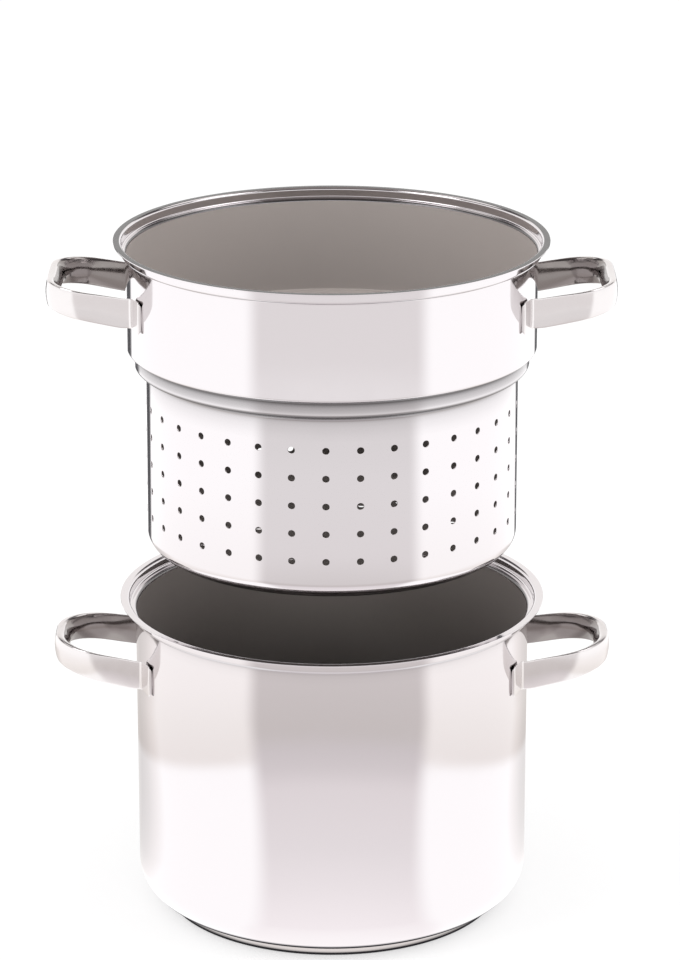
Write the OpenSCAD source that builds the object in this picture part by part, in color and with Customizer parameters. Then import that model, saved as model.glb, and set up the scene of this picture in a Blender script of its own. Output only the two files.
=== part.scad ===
// Pasta pot with a strainer insert.
// The pot stands on the plane z = 0 with its axis on Z. The insert is drawn lifted out of the pot.

/* [Pot] */
// Outside diameter of the pot's wall
pot_od = 240; // [200:1:280]
// Height from the table to the top of the pot's lip
pot_h = 196; // [160:1:240]
// Outside radius of the corner between the pot's wall and floor
pot_corner_r = 20; // [12:1:28]
// Thickness of the drawn steel sheet of both vessels
sheet_t = 0.8; // [0.6:0.1:1.2]

/* [Base] */
// Thickness of the aluminium core under the pot's floor
core_t = 4.4; // [2:0.1:7]
// Thickness of the steel cap that closes the core in
cap_t = 0.6; // [0.4:0.1:1]
// Width of the pot's rounded corner that the cap covers
cap_cover = 4; // [1:0.5:8]
// Outside radius of the cap's lower edge
cap_edge_r = 2.5; // [1.5:0.1:4]

/* [Rims] */
// Inside radius of the bends in the pot's rim
pot_bend_r = 1.3; // [0.8:0.1:1.4]
// Inside radius of the bends in the insert's rim
insert_bend_r = 1; // [0.8:0.1:1.1]
// Depth of the seat below the top of the lip
seat_depth = 6.4; // [5:0.1:9]
// Width of the flat part of the pot's turned-out lip
pot_lip_w = 3.1; // [1:0.1:6]
// Width of the flat part of the insert's turned-out lip
insert_lip_w = 2.7; // [1:0.1:6]
// Width of the step in the insert's rim that a lid rests on
lid_step_w = 2.9; // [2.7:0.1:6]

/* [Insert] */
// Height of the insert's collar, from its step to the top of its lip
collar_h = 66; // [45:1:100]
// Width of the step under the collar, which rests in the pot's rim
step_w = 4.4; // [4.1:0.1:8]
// Radius of the collar's lower corner
collar_corner_r = 1.6; // [1.2:0.1:1.9]
// Radius of the hollow bend from the step down to the neck
neck_bend_r = 2.4; // [1:0.1:2.7]
// Height of the neck that enters the pot's mouth
neck_h = 11; // [8:1:30]
// Width of the shoulder from the neck in to the basket
shoulder_w = 6.6; // [6.4:0.1:12]
// Outside radius of the shoulder
shoulder_r = 2.4; // [1.6:0.1:2.9]
// Radius of the hollow bend from the shoulder down to the basket
basket_bend_r = 3.6; // [1:0.1:4.1]
// Height of the basket's wall below the neck
basket_h = 112.5; // [80:0.5:115]
// Outside radius of the basket's bottom corner
basket_corner_r = 10; // [6:1:20]
// Height of the insert above its seat, as it is drawn
lift = 164; // [0:1:210]

/* [Fits] */
// Radial clearance of the insert's neck in the pot's mouth
neck_gap = 0.6; // [0.3:0.1:1.5]
// Radial clearance of the collar inside the pot's seat
seat_gap = 0.6; // [0.4:0.1:2]

/* [Holes] */
// Diameter of the drain holes
hole_d = 4.2; // [2:0.1:7]
// Number of holes in each row round the basket
hole_columns = 35; // [12:1:48]
// Height between rows of holes in the wall
row_pitch = 16.9; // [10:0.1:30]
// Height of plain wall above the first row's centres
row_start = 21; // [8:1:40]
// Turn of the rows about Z, in degrees
row_turn = -91.6; // [-180:0.1:180]
// Distance between rings of holes in the basket's floor
ring_pitch = 16; // [10:1:30]

/* [Handles] */
// Distance between the middles of the pot handle's legs at the wall
pot_handle_w = 79; // [50:1:100]
// Width of the pot handle's loop at its far end, before its corners are rounded
pot_handle_end_w = 65; // [44:1:90]
// Reach of the pot's handles from the wall
pot_handle_reach = 50; // [35:1:65]
// Plan radius of the pot handle's bends
pot_handle_r = 31; // [12:1:40]
// Height from the pot's lip down to the middle of the handle's feet
pot_handle_drop = 39.5; // [30:1:90]
// Distance between the middles of the insert handle's legs at the wall
insert_handle_w = 81; // [50:1:100]
// Width of the insert handle's loop at its far end, before its corners are rounded
insert_handle_end_w = 79; // [44:1:100]
// Reach of the insert's handles from the wall
insert_handle_reach = 47; // [35:1:65]
// Plan radius of the insert handle's bends
insert_handle_r = 23; // [12:1:40]
// Height from the insert's lip down to the middle of the handle's feet
insert_handle_drop = 35.5; // [24:1:45]
// Upward tilt of the loops, in degrees
handle_tilt = 10; // [0:1:15]
// Height of a handle's foot against the wall
foot_h = 20; // [14:0.5:24]
// Length of a foot along the wall
foot_len = 14; // [8:1:22]
// Thickness of a flattened foot
foot_t = 2.2; // [1.9:0.1:3]
// Plan radius of the bend from foot to leg
foot_bend_r = 3.6; // [2:0.1:4.2]
// Height of a leg where it leaves its foot
leg_h = 18; // [12:0.5:22]
// Height of the loop at its far end
grip_h = 15; // [10:0.5:20]
// Thickness of the loop at its far end
grip_t = 9.5; // [5:0.5:14]
// Bulge of the loop's outer face at its far end
grip_crown = 4.6; // [1:0.1:5]
// Flat taken off each long edge of a handle
handle_edge = 0.7; // [0.2:0.1:0.8]

/* [Hidden] */
bend_fn = 64;
turn_fn = 180;
hole_fn = 24;
joint_gap = 0.05;

pot_or = pot_od / 2;
pot_ir = pot_or - sheet_t;
base_h = cap_t + core_t;
floor_r = pot_or - pot_corner_r;
cap_or = floor_r + cap_cover;

neck_or = pot_ir - neck_gap;
collar_or = neck_or + step_w;
basket_or = neck_or - shoulder_w;
pot_seat_ir = collar_or + seat_gap;
insert_seat_ir = collar_or - sheet_t + lid_step_w;
ledge_z = pot_h - seat_depth;

step_z = neck_h + basket_h;
insert_h = step_z + collar_h;
insert_z = ledge_z + lift - step_z;
row_top = basket_h - row_start;
row_low = basket_corner_r + hole_d;
rows = floor((row_top - row_low) / row_pitch) + 1;
rings = floor((basket_or - basket_corner_r - hole_d) / ring_pitch);

steel = [0.86, 0.86, 0.87];
warm_steel = [0.78, 0.76, 0.75];
aluminium = [0.72, 0.73, 0.75];

// A strip of sheet in the section, from corner to corner
module strip(low, high) {
    translate(low)
        square(high - low);
}

// A quarter turn of sheet round a centre, starting at an angle
module bend(centre, inner_r, start, t = sheet_t) {
    translate(centre)
        rotate([0, 0, start])
            intersection() {
                difference() {
                    circle(r = inner_r + t, $fn = bend_fn);
                    circle(r = inner_r, $fn = bend_fn);
                }
                square(inner_r + t);
            }
}

// Section of a stepped rim: the wall turns out to a ledge, up round a seat and out again to the lip
module rim_section(wall_or, seat_ir, wall_z, top_z, bend_r, lip_w) {
    shelf_z = top_z - seat_depth;
    low_c = [wall_or + bend_r, shelf_z - sheet_t - bend_r];
    seat_c = [seat_ir - bend_r, shelf_z + bend_r];
    lip_c = [seat_ir + sheet_t + bend_r, top_z - sheet_t - bend_r];
    strip([wall_or - sheet_t, wall_z], [wall_or, low_c.y]);
    bend(low_c, bend_r, 90);
    strip([low_c.x, shelf_z - sheet_t], [seat_c.x, shelf_z]);
    bend(seat_c, bend_r, 270);
    strip([seat_ir, seat_c.y], [seat_ir + sheet_t, lip_c.y]);
    bend(lip_c, bend_r, 90);
    strip([lip_c.x, top_z - sheet_t], [lip_c.x + lip_w, top_z]);
    translate([lip_c.x + lip_w, top_z - sheet_t / 2])
        circle(d = sheet_t, $fn = bend_fn);
}

// Section of a flat floor with a rounded corner up to the wall
module floor_section(wall_or, corner_r, floor_z) {
    strip([0, floor_z], [wall_or - corner_r, floor_z + sheet_t]);
    bend([wall_or - corner_r, floor_z + corner_r], corner_r - sheet_t, 270);
}

// Section of the insert between the basket's wall and the collar's wall
module neck_section() {
    basket_c = [basket_or + basket_bend_r, basket_h - basket_bend_r];
    shoulder_c = [neck_or - shoulder_r, basket_h + shoulder_r];
    neck_c = [neck_or + neck_bend_r, step_z - neck_bend_r];
    collar_c = [collar_or - collar_corner_r, step_z + collar_corner_r];
    strip([basket_or - sheet_t, basket_corner_r], [basket_or, basket_c.y]);
    bend(basket_c, basket_bend_r, 90);
    strip([basket_c.x, basket_h], [shoulder_c.x, basket_h + sheet_t]);
    bend(shoulder_c, shoulder_r - sheet_t, 270);
    strip([neck_or - sheet_t, shoulder_c.y], [neck_or, neck_c.y]);
    bend(neck_c, neck_bend_r, 90);
    strip([neck_c.x, step_z], [collar_c.x, step_z + sheet_t]);
    bend(collar_c, collar_corner_r - sheet_t, 270);
}

// One round of holes through the basket's wall
module hole_row(z) {
    for (i = [0:hole_columns - 1])
        rotate([0, 0, row_turn + i * 360 / hole_columns])
            translate([basket_or - 3 * sheet_t, 0, z])
                rotate([0, 90, 0])
                    cylinder(d = hole_d, h = 4 * sheet_t, $fn = hole_fn);
}

// The holes through the basket's floor: one at the centre and rings round it
module floor_holes() {
    translate([0, 0, -sheet_t])
        cylinder(d = hole_d, h = 3 * sheet_t, $fn = hole_fn);
    for (ring = [1:rings], i = [0:6 * ring - 1])
        rotate([0, 0, i * 60 / ring])
            translate([ring * ring_pitch, 0, -sheet_t])
                cylinder(d = hole_d, h = 3 * sheet_t, $fn = hole_fn);
}

function unit(v) = v / norm(v);
function mix(a, b, k) = a + (b - a) * k;
function ease(k) = (1 - cos(180 * k)) / 2;

// Points of an arc that rounds the corner at b between the lines a-b and b-c, with the radius asked for
// or the largest one that fits in the second line
function fillet(a, b, c, wanted_r, n) =
    let (d1 = unit(b - a), d2 = unit(c - b), side = sign(d1.x * d2.y - d1.y * d2.x),
         turn = acos(d1 * d2), r = min(wanted_r, 0.95 * norm(c - b) / tan(turn / 2)),
         start = b - d1 * r * tan(turn / 2), centre = start + side * r * [-d1.y, d1.x])
    [for (i = [0:n])
        let (s = side * turn * i / n, p = start - centre)
        centre + [p.x * cos(s) - p.y * sin(s), p.x * sin(s) + p.y * cos(s)]];

// Section of a handle: [outward, up] points round a bar with a crowned outer face
function bar_section(h, t, crown) =
    let (b = h / 2 - handle_edge, back = crown / 4)
    concat(
        [for (i = [-3:3]) [t / 2 - crown * (i / 3) * (i / 3), b * i / 3]],
        [[t / 2 - crown - handle_edge, h / 2], [-t / 2 + back + handle_edge, h / 2]],
        [for (i = [2:-1:-2]) [-t / 2 + back * i * i / 4, b * i / 2]],
        [[-t / 2 + back + handle_edge, -h / 2], [t / 2 - crown - handle_edge, -h / 2]]);

// A closed bar through a list of rings of points
module loft(rings_of_points) {
    n = len(rings_of_points[0]);
    last = len(rings_of_points) - 1;
    sides = [for (i = [0:last - 1], j = [0:n - 1])
        each [[i * n + j, (i + 1) * n + (j + 1) % n, i * n + (j + 1) % n],
              [i * n + j, (i + 1) * n + j, (i + 1) * n + (j + 1) % n]]];
    start_cap = [for (j = [1:n - 2]) [0, j, j + 1]];
    end_cap = [for (j = [1:n - 2]) [last * n, last * n + j + 1, last * n + j]];
    polyhedron(points = [for (ring = rings_of_points) each ring],
               faces = concat(sides, start_cap, end_cap));
}

// Half of a handle's middle line in plan, from the end of its foot to the far end of the loop
function handle_line(wall_or, w, end_w, reach, corner_r) =
    let (mid_angle = asin((w + foot_len) / 2 / wall_or),
         foot_mid = (wall_or + foot_t / 2 - foot_len * foot_len / 8 / wall_or)
             * [cos(mid_angle), sin(mid_angle)],
         along = foot_len / 2 * [-sin(mid_angle), cos(mid_angle)],
         foot_end = foot_mid + along,
         heel = foot_mid - along,
         far_x = wall_or + reach - grip_t / 2,
         corner = [far_x, end_w / 2])
    concat([foot_end], fillet(foot_end, heel, corner, foot_bend_r, 4),
           fillet(heel, corner, [far_x, 0], corner_r, 9), [[far_x, 0]]);

// Lengths along a line of points, as shares of the whole
function shares(line) =
    let (steps = [for (i = [1:len(line) - 1]) norm(line[i] - line[i - 1])],
         sums = [for (i = [0:len(steps)]) i == 0 ? 0 : [for (j = [0:i - 1]) steps[j]]
             * [for (j = [0:i - 1]) 1]])
    sums / sums[len(steps)];

// A loop handle on the +X side, with both feet on a wall of radius wall_or at height z
module handle(wall_or, w, end_w, reach, corner_r, z) {
    coarse = handle_line(wall_or, w, end_w, reach, corner_r);
    heel_i = 5;
    line = concat([for (i = [0:heel_i]) coarse[i]],
                  [for (k = [1:3]) mix(coarse[heel_i], coarse[heel_i + 1], k / 4)],
                  [for (i = [heel_i + 1:len(coarse) - 1]) coarse[i]]);
    part_way = shares(line);
    heel_way = part_way[heel_i];
    count = len(line);
    whole = concat(line, [for (i = [count - 2:-1:0]) [line[i].x, -line[i].y]]);
    way = concat(part_way, [for (i = [count - 2:-1:0]) part_way[i]]);
    bars = [for (i = [0:len(whole) - 1])
        let (before = whole[max(i - 1, 0)], after = whole[min(i + 1, len(whole) - 1)],
             dir = unit(after - before), out = [dir.y, -dir.x],
             k = ease(max(0, (way[i] - heel_way) / (1 - heel_way))),
             h = way[i] < heel_way ? mix(foot_h, leg_h, way[i] / heel_way) : mix(leg_h, grip_h, k),
             t = mix(foot_t, grip_t, k), crown = mix(handle_edge / 2, grip_crown, k),
             rise = max(0, whole[i].x - wall_or) * tan(handle_tilt))
        [for (p = bar_section(h, t, crown))
            [whole[i].x + out.x * p.x, whole[i].y + out.y * p.x, z + rise + p.y]]];
    difference() {
        loft(bars);
        cylinder(r = wall_or + joint_gap, h = 2 * (z + foot_h), $fn = turn_fn);
    }
}

module pot_body() {
    color(steel)
        rotate_extrude($fn = turn_fn) {
            floor_section(pot_or, pot_corner_r, base_h);
            rim_section(pot_or, pot_seat_ir, base_h + pot_corner_r, pot_h, pot_bend_r, pot_lip_w);
        }
}

module base_core() {
    edge_r = cap_edge_r - cap_t;
    edge_c = [cap_or - cap_t - joint_gap - edge_r, cap_edge_r];
    color(aluminium)
        rotate_extrude($fn = turn_fn) {
            strip([0, cap_t], [edge_c.x, base_h]);
            strip(edge_c, [edge_c.x + edge_r, base_h]);
            translate(edge_c)
                rotate([0, 0, 270])
                    intersection() {
                        circle(r = edge_r, $fn = bend_fn);
                        square(edge_r);
                    }
        }
}

module base_cap() {
    wall_x = cap_or - cap_t - floor_r;
    top = base_h + pot_corner_r - sqrt(pot_corner_r * pot_corner_r - wall_x * wall_x);
    color(warm_steel)
        rotate_extrude($fn = turn_fn) {
            strip([0, 0], [cap_or - cap_edge_r, cap_t]);
            bend([cap_or - cap_edge_r, cap_edge_r], cap_edge_r - cap_t, 270, cap_t);
            strip([cap_or - cap_t, cap_edge_r], [cap_or, top]);
        }
}

module pot_handle_right() {
    color(warm_steel)
        handle(pot_or, pot_handle_w, pot_handle_end_w, pot_handle_reach, pot_handle_r,
               pot_h - pot_handle_drop);
}

module pot_handle_left() {
    rotate([0, 0, 180])
        pot_handle_right();
}

module strainer_body() {
    color(steel)
        translate([0, 0, insert_z])
            difference() {
                rotate_extrude($fn = turn_fn) {
                    floor_section(basket_or, basket_corner_r, 0);
                    neck_section();
                    rim_section(collar_or, insert_seat_ir, step_z + collar_corner_r, insert_h,
                                insert_bend_r, insert_lip_w);
                }
                for (row = [0:rows - 1])
                    hole_row(row_top - row * row_pitch);
                floor_holes();
            }
}

module strainer_handle_right() {
    color(warm_steel)
        handle(collar_or, insert_handle_w, insert_handle_end_w, insert_handle_reach, insert_handle_r,
               insert_z + insert_h - insert_handle_drop);
}

module strainer_handle_left() {
    rotate([0, 0, 180])
        strainer_handle_right();
}

pot_body();
base_core();
base_cap();
pot_handle_left();
pot_handle_right();
strainer_body();
strainer_handle_left();
strainer_handle_right();
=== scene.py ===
"""Pasta pot with a strainer insert, dressed for rendering, laid out as a Blender add-on."""
import math

import bpy
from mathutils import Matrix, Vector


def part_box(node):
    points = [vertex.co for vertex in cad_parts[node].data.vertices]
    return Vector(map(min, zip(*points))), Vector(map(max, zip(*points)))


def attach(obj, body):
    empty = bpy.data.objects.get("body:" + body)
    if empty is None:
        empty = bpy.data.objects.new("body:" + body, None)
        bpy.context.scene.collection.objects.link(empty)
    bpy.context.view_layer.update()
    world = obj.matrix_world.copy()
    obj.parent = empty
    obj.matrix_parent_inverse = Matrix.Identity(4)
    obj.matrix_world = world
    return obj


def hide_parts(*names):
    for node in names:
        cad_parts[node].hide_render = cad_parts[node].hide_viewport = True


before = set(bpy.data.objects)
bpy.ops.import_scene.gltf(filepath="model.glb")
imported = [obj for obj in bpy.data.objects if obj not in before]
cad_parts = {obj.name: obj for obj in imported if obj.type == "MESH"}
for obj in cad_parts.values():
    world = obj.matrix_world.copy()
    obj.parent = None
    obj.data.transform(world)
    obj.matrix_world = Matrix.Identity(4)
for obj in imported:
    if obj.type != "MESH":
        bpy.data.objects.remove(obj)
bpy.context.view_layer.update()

bl_info = {
    "name": "Pasta pot with strainer insert",
    "version": (1, 0, 0),
    "blender": (4, 2, 0),
    "location": "3D View > Sidebar > Pasta pot",
    "description": "Models the vessels, the handles and the stage of a pasta pot with a strainer insert",
    "category": "Object",
}

MM = 0.001
LEDGE_DEPTH = 6.4 * MM  # from the top of a rim down to the ledge of its seat
WELD = 0.02 * MM        # points this near each other are merged
NEAR = 0.01 * MM        # a point this near a place is the one that stands there
pot_low, pot_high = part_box("pot_body")
insert_low, insert_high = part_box("strainer_body")
cap_low, cap_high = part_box("base_cap")


class PotSizes(bpy.types.PropertyGroup):
    """Sizes of the pot's drawn shell and of the cap under it."""
    wall_r: bpy.props.FloatProperty(
        name="Wall radius", description="Outside radius of the pot's wall",
        default=120 * MM, unit="LENGTH")
    floor_z: bpy.props.FloatProperty(
        name="Floor height", description="Height of the underside of the pot's own floor",
        default=pot_low.z, unit="LENGTH")
    top_z: bpy.props.FloatProperty(
        name="Lip height", description="Height of the top of the pot's lip",
        default=pot_high.z, unit="LENGTH")
    lip_r: bpy.props.FloatProperty(
        name="Lip radius", description="Radius of the outer edge of the lip",
        default=pot_high.x, unit="LENGTH")
    corner_r: bpy.props.FloatProperty(
        name="Corner radius", description="Outside radius between wall and floor",
        default=20 * MM, unit="LENGTH")
    seat_r: bpy.props.FloatProperty(
        name="Seat radius", description="Outside radius of the seat in the rim",
        default=124.4 * MM, unit="LENGTH")
    bend_r: bpy.props.FloatProperty(
        name="Rim bend", description="Inside radius of the bends in the rim",
        default=1.3 * MM, unit="LENGTH")
    cap_r: bpy.props.FloatProperty(
        name="Cap radius", description="Outside radius of the cap under the pot",
        default=cap_high.x, unit="LENGTH")
    cap_edge_r: bpy.props.FloatProperty(
        name="Cap edge", description="Radius of the cap's lower edge",
        default=2.5 * MM, unit="LENGTH")
    cap_sheet: bpy.props.FloatProperty(
        name="Cap sheet", description="Thickness of the cap",
        default=0.6 * MM, unit="LENGTH")


class InsertSizes(bpy.types.PropertyGroup):
    """Sizes of the perforated insert, with heights counted from its own floor."""
    floor_z: bpy.props.FloatProperty(
        name="Floor height", description="Height of the insert's floor over the table, as it is held",
        default=insert_low.z, unit="LENGTH")
    height: bpy.props.FloatProperty(
        name="Height", description="Height of the insert from its floor to its lip",
        default=insert_high.z - insert_low.z, unit="LENGTH")
    basket_r: bpy.props.FloatProperty(
        name="Basket radius", description="Outside radius of the perforated wall",
        default=112 * MM, unit="LENGTH")
    neck_r: bpy.props.FloatProperty(
        name="Neck radius", description="Outside radius of the neck that enters the pot",
        default=118.6 * MM, unit="LENGTH")
    collar_r: bpy.props.FloatProperty(
        name="Collar radius", description="Outside radius of the plain collar",
        default=123 * MM, unit="LENGTH")
    seat_r: bpy.props.FloatProperty(
        name="Lid seat radius", description="Outside radius of the seat in the rim",
        default=125.9 * MM, unit="LENGTH")
    lip_r: bpy.props.FloatProperty(
        name="Lip radius", description="Radius of the outer edge of the lip",
        default=insert_high.x, unit="LENGTH")
    basket_h: bpy.props.FloatProperty(
        name="Basket height", description="Height of the basket's wall below the neck",
        default=insert_high.z - insert_low.z - 77 * MM, unit="LENGTH")
    neck_h: bpy.props.FloatProperty(
        name="Neck height", description="Height of the neck between shoulder and step",
        default=11 * MM, unit="LENGTH")
    corner_r: bpy.props.FloatProperty(
        name="Basket corner", description="Outside radius of the basket's lower corner",
        default=10 * MM, unit="LENGTH")
    shoulder_r: bpy.props.FloatProperty(
        name="Shoulder radius", description="Outside radius of the shoulder under the neck",
        default=2.4 * MM, unit="LENGTH")
    collar_corner_r: bpy.props.FloatProperty(
        name="Collar corner", description="Outside radius of the collar's lower corner",
        default=1.6 * MM, unit="LENGTH")
    neck_bend_r: bpy.props.FloatProperty(
        name="Neck bend", description="Radius of the hollow bend between step and neck",
        default=2.4 * MM, unit="LENGTH")
    basket_bend_r: bpy.props.FloatProperty(
        name="Basket bend", description="Radius of the hollow bend between shoulder and basket",
        default=3.6 * MM, unit="LENGTH")
    bend_r: bpy.props.FloatProperty(
        name="Bend radius", description="Inside radius of the bends in the rim",
        default=1.0 * MM, unit="LENGTH")


class HoleSizes(bpy.types.PropertyGroup):
    """The drain holes in the basket's wall and floor."""
    diameter: bpy.props.FloatProperty(
        name="Diameter", description="Diameter of a drain hole",
        default=4.2 * MM, unit="LENGTH")
    columns: bpy.props.IntProperty(
        name="Columns", description="Holes in a row round the wall", default=35)
    rows: bpy.props.IntProperty(
        name="Rows", description="Rows of holes in the wall", default=5)
    row_pitch: bpy.props.FloatProperty(
        name="Row pitch", description="Height between rows",
        default=16.9 * MM, unit="LENGTH")
    row_start: bpy.props.FloatProperty(
        name="Row start", description="Height of plain wall above the upper row",
        default=21 * MM, unit="LENGTH")
    turn: bpy.props.FloatProperty(
        name="Turn", description="Turn of the columns from the front",
        default=math.radians(-1.6), subtype="ANGLE")
    rings: bpy.props.IntProperty(
        name="Rings", description="Rings of holes in the floor", default=6)
    ring_pitch: bpy.props.FloatProperty(
        name="Ring pitch", description="Distance between rings",
        default=16 * MM, unit="LENGTH")


class HandleSizes(bpy.types.PropertyGroup):
    """Sizes that the four loop handles share, and the plan of each pair."""
    foot_l: bpy.props.FloatProperty(
        name="Foot length", description="Length of a flattened foot along the wall",
        default=14 * MM, unit="LENGTH")
    foot_h: bpy.props.FloatProperty(
        name="Foot height", description="Height of a foot", default=20 * MM, unit="LENGTH")
    foot_t: bpy.props.FloatProperty(
        name="Foot thickness", description="Thickness of a foot", default=2.2 * MM, unit="LENGTH")
    leg_h: bpy.props.FloatProperty(
        name="Leg height", description="Height of a leg at its foot", default=18 * MM, unit="LENGTH")
    grip_h: bpy.props.FloatProperty(
        name="Grip height", description="Height of the loop at its far end",
        default=15 * MM, unit="LENGTH")
    grip_t: bpy.props.FloatProperty(
        name="Grip thickness", description="Thickness of the loop at its far end",
        default=9.5 * MM, unit="LENGTH")
    crown: bpy.props.FloatProperty(
        name="Crown", description="Bulge of the inner face at the far end",
        default=4.6 * MM, unit="LENGTH")
    tilt: bpy.props.FloatProperty(
        name="Tilt", description="Upward tilt of the loops",
        default=math.radians(10), subtype="ANGLE")
    heel_r: bpy.props.FloatProperty(
        name="Heel radius", description="Plan radius of the bend from foot to leg",
        default=3.6 * MM, unit="LENGTH")
    pot_w: bpy.props.FloatProperty(
        name="Pot handle width", description="Distance between the legs at the pot's wall",
        default=79 * MM, unit="LENGTH")
    pot_end_w: bpy.props.FloatProperty(
        name="Pot handle end width", description="Width of the loop at its far end",
        default=65 * MM, unit="LENGTH")
    pot_bend_r: bpy.props.FloatProperty(
        name="Pot handle bend", description="Plan radius of the loop's corners",
        default=31 * MM, unit="LENGTH")
    pot_reach: bpy.props.FloatProperty(
        name="Pot handle reach", description="Reach from the pot's wall",
        default=50 * MM, unit="LENGTH")
    pot_z: bpy.props.FloatProperty(
        name="Pot handle height", description="Height of the middle of the feet",
        default=pot_high.z - 39.5 * MM, unit="LENGTH")
    insert_w: bpy.props.FloatProperty(
        name="Insert handle width", description="Distance between the legs at the collar",
        default=81 * MM, unit="LENGTH")
    insert_end_w: bpy.props.FloatProperty(
        name="Insert handle end width", description="Width of the loop at its far end",
        default=79 * MM, unit="LENGTH")
    insert_bend_r: bpy.props.FloatProperty(
        name="Insert handle bend", description="Plan radius of the loop's corners",
        default=23 * MM, unit="LENGTH")
    insert_reach: bpy.props.FloatProperty(
        name="Insert handle reach", description="Reach from the collar's wall",
        default=47 * MM, unit="LENGTH")
    insert_z: bpy.props.FloatProperty(
        name="Insert handle height", description="Height of the middle of the feet",
        default=insert_high.z - 35.5 * MM, unit="LENGTH")


class SteelSettings(bpy.types.PropertyGroup):
    """Sheet and finish that the vessels share."""
    sheet: bpy.props.FloatProperty(
        name="Sheet", description="Thickness of the drawn sheet", default=0.8 * MM, unit="LENGTH")
    facets: bpy.props.IntProperty(
        name="Facets round", description="Facets round a vessel, a multiple of the hole columns",
        default=280)
    mirror_hex: bpy.props.StringProperty(
        name="Mirror steel", description="Colour of the mirror-polished outside", default="DAD6D8")
    satin_hex: bpy.props.StringProperty(
        name="Satin steel", description="Colour of the satin inside", default="C2BBB7")
    bloom_hex: bpy.props.StringProperty(
        name="Satin bloom", description="Colour of the light the satin scatters", default="CBC3BF")
    tube_hex: bpy.props.StringProperty(
        name="Handle steel", description="Colour of the polished handles", default="DAD6D6")
    # Painted shade: a darker copy of the handle steel for the loops' inner sides.
    loop_shade_hex: bpy.props.StringProperty(
        name="Loop steel", description="Colour of the handles' inner sides", default="8E8886")
    cap_hex: bpy.props.StringProperty(
        name="Cap steel", description="Colour of the cap under the pot", default="C2BDBB")
    core_hex: bpy.props.StringProperty(
        name="Core aluminium", description="Colour of the closed-in core", default="C8C9CC")


class StageSettings(bpy.types.PropertyGroup):
    """Floor, light and camera."""
    camera_back: bpy.props.FloatProperty(
        name="Camera distance", description="Distance of the camera in front of the pot's axis",
        default=2250.6 * MM, unit="LENGTH")
    camera_up: bpy.props.FloatProperty(
        name="Camera height", description="Height of the camera over the floor",
        default=1000.5 * MM, unit="LENGTH")
    camera_side: bpy.props.FloatProperty(
        name="Camera side", description="Shift of the camera to the right of the pot's axis",
        default=5 * MM, unit="LENGTH")
    camera_pitch: bpy.props.FloatProperty(
        name="Camera pitch", description="Downward pitch of the camera",
        default=math.radians(18.031), subtype="ANGLE")
    lens: bpy.props.FloatProperty(
        name="Lens", description="Focal length for a 36 mm sensor, in millimetres", default=146.33)
    floor_r: bpy.props.FloatProperty(
        name="Floor radius", description="Radius of the studio floor", default=9.0, unit="LENGTH")


GROUPS = {"pot": PotSizes, "insert": InsertSizes, "holes": HoleSizes, "handles": HandleSizes,
          "steel": SteelSettings, "stage": StageSettings}


def settings(name):
    return getattr(bpy.context.scene, "pasta_" + name)


# Selecting and shaping

def activate(piece):
    """Leaves edit mode and selects one piece alone."""
    bpy.ops.object.mode_set(mode="OBJECT")
    bpy.ops.object.select_all(action="DESELECT")
    piece.select_set(True)
    bpy.context.view_layer.objects.active = piece


def edit_new(add_primitive, name, **arguments):
    """Adds a primitive with nothing else selected, names it and leaves it in edit mode."""
    if bpy.context.object and bpy.context.object.mode != "OBJECT":
        bpy.ops.object.mode_set(mode="OBJECT")
    bpy.ops.object.select_all(action="DESELECT")
    add_primitive(**arguments)
    piece = bpy.context.object
    piece.name = piece.data.name = name
    bpy.ops.object.mode_set(mode="EDIT")
    bpy.ops.mesh.select_mode(type="VERT")
    bpy.ops.mesh.select_all(action="SELECT")
    return piece


def select_where(piece, kind, test):
    """Selects the vertices or faces of a mesh whose place, or faces whose normal, passes a test."""
    bpy.ops.object.mode_set(mode="EDIT")
    bpy.ops.mesh.select_mode(type="FACE" if kind == "FACING" else kind)
    bpy.ops.mesh.select_all(action="DESELECT")
    bpy.ops.object.mode_set(mode="OBJECT")
    mesh = piece.data
    if kind == "VERT":
        for vertex in mesh.vertices:
            vertex.select = test(vertex.co)
    else:
        for face in mesh.polygons:
            face.select = test(face.normal if kind == "FACING" else face.center)
    bpy.ops.object.mode_set(mode="EDIT")


def draw_line(name, points):
    """A line of edges through points, drawn by extruding one vertex."""
    piece = edit_new(bpy.ops.mesh.primitive_plane_add, name, size=MM)
    bpy.ops.mesh.merge(type="CENTER")
    bpy.ops.transform.translate(value=points[0])
    for before, after in zip(points, points[1:]):
        step = [b - a for a, b in zip(before, after)]
        bpy.ops.mesh.extrude_vertices_move(TRANSFORM_OT_translate={"value": step})
    return piece


def round_corner(piece, place, radius, segments):
    """Rounds one corner of a drawn line."""
    select_where(piece, "VERT", lambda co: math.dist(co, place) < NEAR)
    bpy.ops.mesh.bevel(offset=radius, offset_type="OFFSET", segments=segments, profile=0.5,
                       affect="VERTICES")


def turn_profile(name, corners):
    """Turns a section, given as (radius, height, rounding) corners, into a sheet round the axis."""
    places = [(0, -r, z) for r, z, rounding in corners]
    piece = draw_line(name, places)
    for place, (r, z, rounding) in zip(places, corners):
        if rounding:
            wide = rounding > 5 * MM
            round_corner(piece, place, rounding, 12 if wide else 8)
    bpy.ops.mesh.select_all(action="SELECT")
    bpy.ops.mesh.spin(steps=settings("steel").facets, angle=math.tau, center=(0, 0, 0),
                      axis=(0, 0, 1))
    bpy.ops.mesh.select_all(action="SELECT")
    bpy.ops.mesh.remove_doubles(threshold=0.004 * MM)
    return piece


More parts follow.
